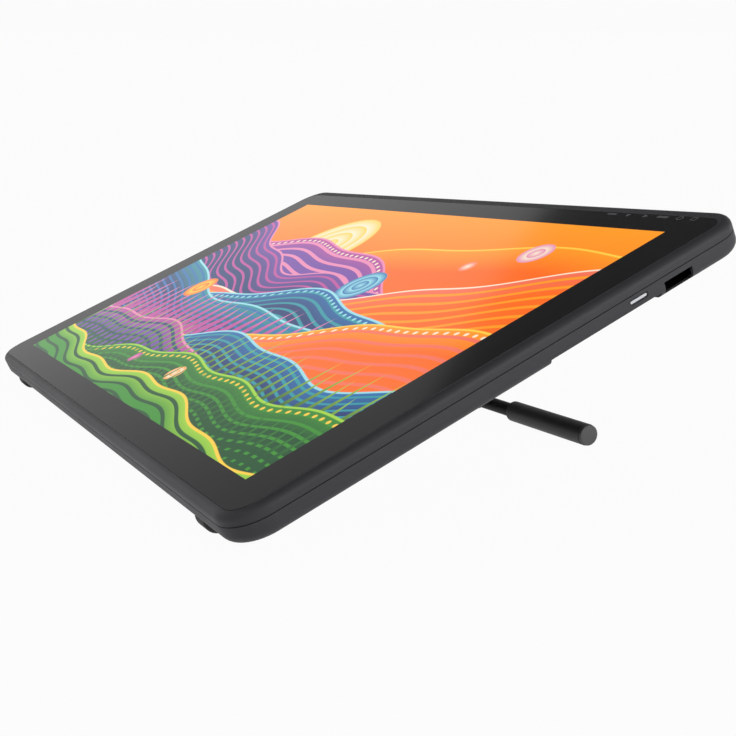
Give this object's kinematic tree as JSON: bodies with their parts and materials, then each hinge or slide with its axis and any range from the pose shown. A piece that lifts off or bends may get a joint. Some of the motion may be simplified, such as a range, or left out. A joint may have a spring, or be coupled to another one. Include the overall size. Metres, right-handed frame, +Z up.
{
  "type": "graphics tablet with screen",
  "caption": "Flat pen display with a laminated glass screen in a slim dark body, tilted on a folding rear stand with a round foot bar, a side power button and a side port bay.",
  "frame": {"origin": "middle of the part's box, on the desk that its feet and foot bar stand on", "axes": "+X to the user's right, +Y from the user's front edge to the back, +Z up"},
  "size_m": [0.542, 0.2968, 0.1491],
  "materials": {
    "screen_glass": "etched anti-glare glass with a black printed border",
    "black_rubber": "matt rubber",
    "board_green": "solder mask",
    "frame_plastic": "fine matt texture",
    "clear_film": "clear sheet",
    "panel_glass": "lit panel",
    "white_film": "white film",
    "sheet_aluminium": "plain sheet",
    "bright_steel": "plain steel",
    "port_steel": "stamped steel",
    "ribbon_film": "polyimide film",
    "black_plastic": "moulded",
    "button_silver": "satin anodised",
    "cover_plastic": "fine matt texture",
    "black_steel": "black oxide",
    "stand_metal": "powder coat",
    "washer_brass": "plain brass",
    "spring_steel": "oiled spring wire",
    "lever_plastic": "moulded",
    "rod_metal": "black coat",
    "sleeve_rubber": "smooth rubber",
    "cap_plastic": "moulded"
  },
  "bodies": {
    "tablet": {"cover_glass": "screen_glass", "glass_gasket": "black_rubber", "touch_key_strip": "board_green", "front_frame": "frame_plastic", "bonding_layer": "clear_film", "lcd_panel": "panel_glass", "diffuser_films": "white_film", "light_guide": "clear_film", "led_strip": "board_green", "backlight_tray": "sheet_aluminium", "sensor_board": "board_green", "shield_plate": "sheet_aluminium", "main_board": "board_green", "board_screws": "bright_steel", "usb_ports": "port_steel", "panel_ribbon": "ribbon_film", "button_board": "board_green", "button_switch": "black_plastic", "rear_cover": "cover_plastic", "port_lid": "black_plastic", "mount_bracket": "bright_steel", "case_screws": "black_steel", "front_feet": "black_rubber", "stand_base": "stand_metal", "stand_screws": "black_steel", "hinge_shaft": "bright_steel", "shaft_clip": "bright_steel", "friction_washers": "washer_brass"},
    "leg": {"stand_leg": "stand_metal", "clutch_spring": "spring_steel", "lever_pin": "bright_steel", "return_spring": "spring_steel", "foot_rod": "rod_metal", "foot_sleeve_left": "sleeve_rubber", "foot_sleeve_right": "sleeve_rubber", "foot_caps": "cap_plastic"},
    "lever": {"release_lever": "lever_plastic"},
    "button": {"power_button": "button_silver"}
  },
  "joints": [
    {"name": "leg_hinge", "type": "hinge", "parent": "tablet", "child": "leg", "pos_m": [0, -0.03066, 0.03582], "axis": [-1, 0, 0], "range_deg": [-33, 83]},
    {"name": "lever_press", "type": "hinge", "parent": "leg", "child": "lever", "pos_m": [0, 0.03051, 0.02569], "axis": [1, 0, 0], "range_deg": [0, 4], "stiffness_Nm_per_rad": 1.5, "springref_deg": -3.44},
    {"name": "button_press", "type": "slide", "parent": "tablet", "child": "button", "axis": [-1, 0, 0], "range_m": [0, 0.0005], "stiffness_N_per_m": 1500, "springref_m": -0.0005}
  ]
}
